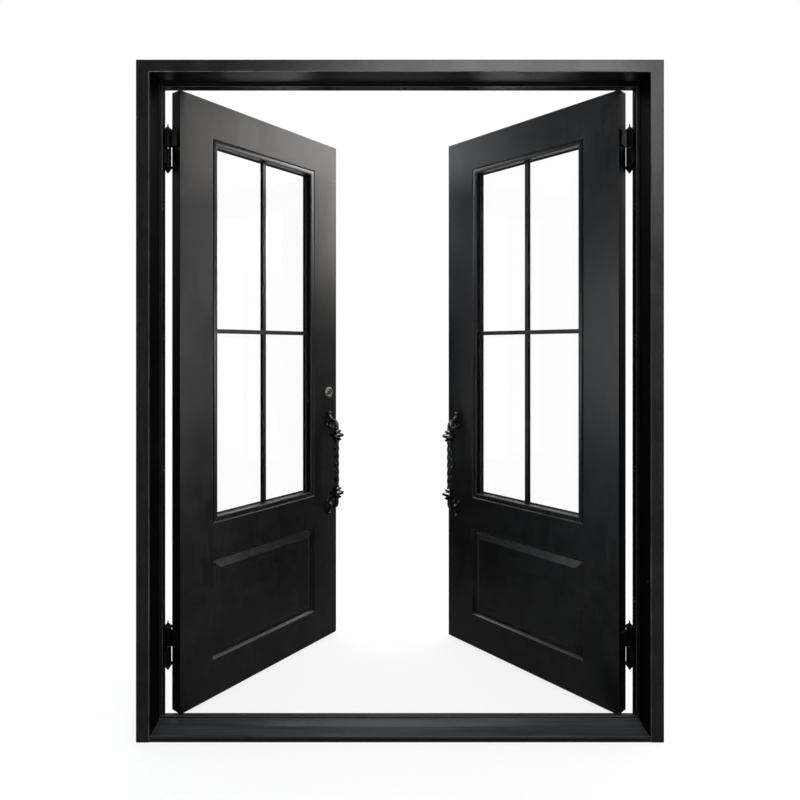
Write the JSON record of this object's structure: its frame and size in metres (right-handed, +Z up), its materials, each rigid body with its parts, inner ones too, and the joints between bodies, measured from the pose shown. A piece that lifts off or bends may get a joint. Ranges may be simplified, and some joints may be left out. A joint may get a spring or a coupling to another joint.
{
  "type": "french doors",
  "caption": "Pair of in-swing black steel doors in a welded frame, each leaf with a divided glass light, a raised lower panel and a twisted iron pull.",
  "frame": {"origin": "middle of the threshold's underside, half way through the frame's depth", "axes": "+X to the right as seen from outside, +Y inwards, +Z up"},
  "size_m": [1.888, 0.9028, 2.44],
  "materials": {
    "black_paint": "satin",
    "black_iron": "semi-gloss",
    "bronze": "satin",
    "steel": "satin",
    "rubber": "matte",
    "glass": "clear"
  },
  "bodies": {
    "frame": {"left_jamb": "black_paint", "right_jamb": "black_paint", "head": "black_paint", "threshold": "black_paint", "left_stop": "black_paint", "right_stop": "black_paint", "head_stop": "black_paint", "frame_seals": "rubber", "left_jamb_knuckles": "black_iron", "right_jamb_knuckles": "black_iron", "hinge_pins": "steel", "hinge_washers": "bronze", "head_keeper": "black_iron"},
    "left_leaf": {"left_hinge_stile": "black_paint", "left_lock_stile": "black_paint", "left_top_rail": "black_paint", "left_lock_rail": "black_paint", "left_bottom_rail": "black_paint", "left_stile_caps": "black_paint", "left_outer_bead": "black_paint", "left_inner_bead": "black_paint", "left_grille": "black_paint", "left_outer_pane": "glass", "left_inner_pane": "glass", "left_pane_spacer": "steel", "left_outer_panel": "black_paint", "left_inner_panel": "black_paint", "left_sweep": "rubber", "left_leaf_knuckles": "black_iron", "left_pull_bars": "black_iron", "left_pull_brackets": "black_iron", "meeting_bar": "black_paint", "deadbolt_rose": "bronze", "thumbturn_rose": "bronze", "deadbolt_faceplate": "bronze"},
    "right_leaf": {"right_hinge_stile": "black_paint", "right_lock_stile": "black_paint", "right_top_rail": "black_paint", "right_lock_rail": "black_paint", "right_bottom_rail": "black_paint", "right_stile_caps": "black_paint", "right_outer_bead": "black_paint", "right_inner_bead": "black_paint", "right_grille": "black_paint", "right_outer_pane": "glass", "right_inner_pane": "glass", "right_pane_spacer": "steel", "right_outer_panel": "black_paint", "right_inner_panel": "black_paint", "right_sweep": "rubber", "right_leaf_knuckles": "black_iron", "right_pull_bars": "black_iron", "right_pull_brackets": "black_iron", "strike_plate": "bronze", "flush_bolt_plates": "bronze"},
    "thumbturn": {"thumbturn": "bronze"},
    "deadbolt": {"deadbolt": "steel"},
    "key_plug": {"key_plug": "bronze"},
    "flush_bolt_top": {"flush_bolt_top": "steel"},
    "flush_bolt_bottom": {"flush_bolt_bottom": "steel"}
  },
  "joints": [
    {"name": "left_leaf_swing", "type": "hinge", "parent": "frame", "child": "left_leaf", "pos_m": [-0.894, 0.104, 1.2], "axis": [0, 0, 1], "range_deg": [-52.4, 57.6]},
    {"name": "right_leaf_swing", "type": "hinge", "parent": "frame", "child": "right_leaf", "pos_m": [0.894, 0.104, 1.2], "axis": [0, 0, -1], "range_deg": [-49.2, 60.8]},
    {"name": "thumbturn_turn", "type": "hinge", "parent": "left_leaf", "child": "thumbturn", "pos_m": [-0.36899, 0.75296, 1.192], "axis": [-0.7923, 0.6101, 0], "range_deg": [0, 90]},
    {"name": "deadbolt_throw", "type": "slide", "parent": "left_leaf", "child": "deadbolt", "axis": [0.6101, 0.7923, 0], "range_m": [0, 0.025]},
    {"name": "key_turn", "type": "hinge", "parent": "left_leaf", "child": "key_plug", "pos_m": [-0.32779, 0.72123, 1.192], "axis": [0.7923, -0.6101, 0], "range_deg": [0, 90]},
    {"name": "flush_bolt_top_slide", "type": "slide", "parent": "right_leaf", "child": "flush_bolt_top", "axis": [0, 0, 1], "range_m": [0, 0.014]},
    {"name": "flush_bolt_bottom_slide", "type": "slide", "parent": "right_leaf", "child": "flush_bolt_bottom", "axis": [0, 0, -1], "range_m": [0, 0.014]}
  ],
  "couplings": [
    {"joint": "thumbturn_turn", "follows": "deadbolt_throw", "rad_per_m": 62.8}
  ]
}
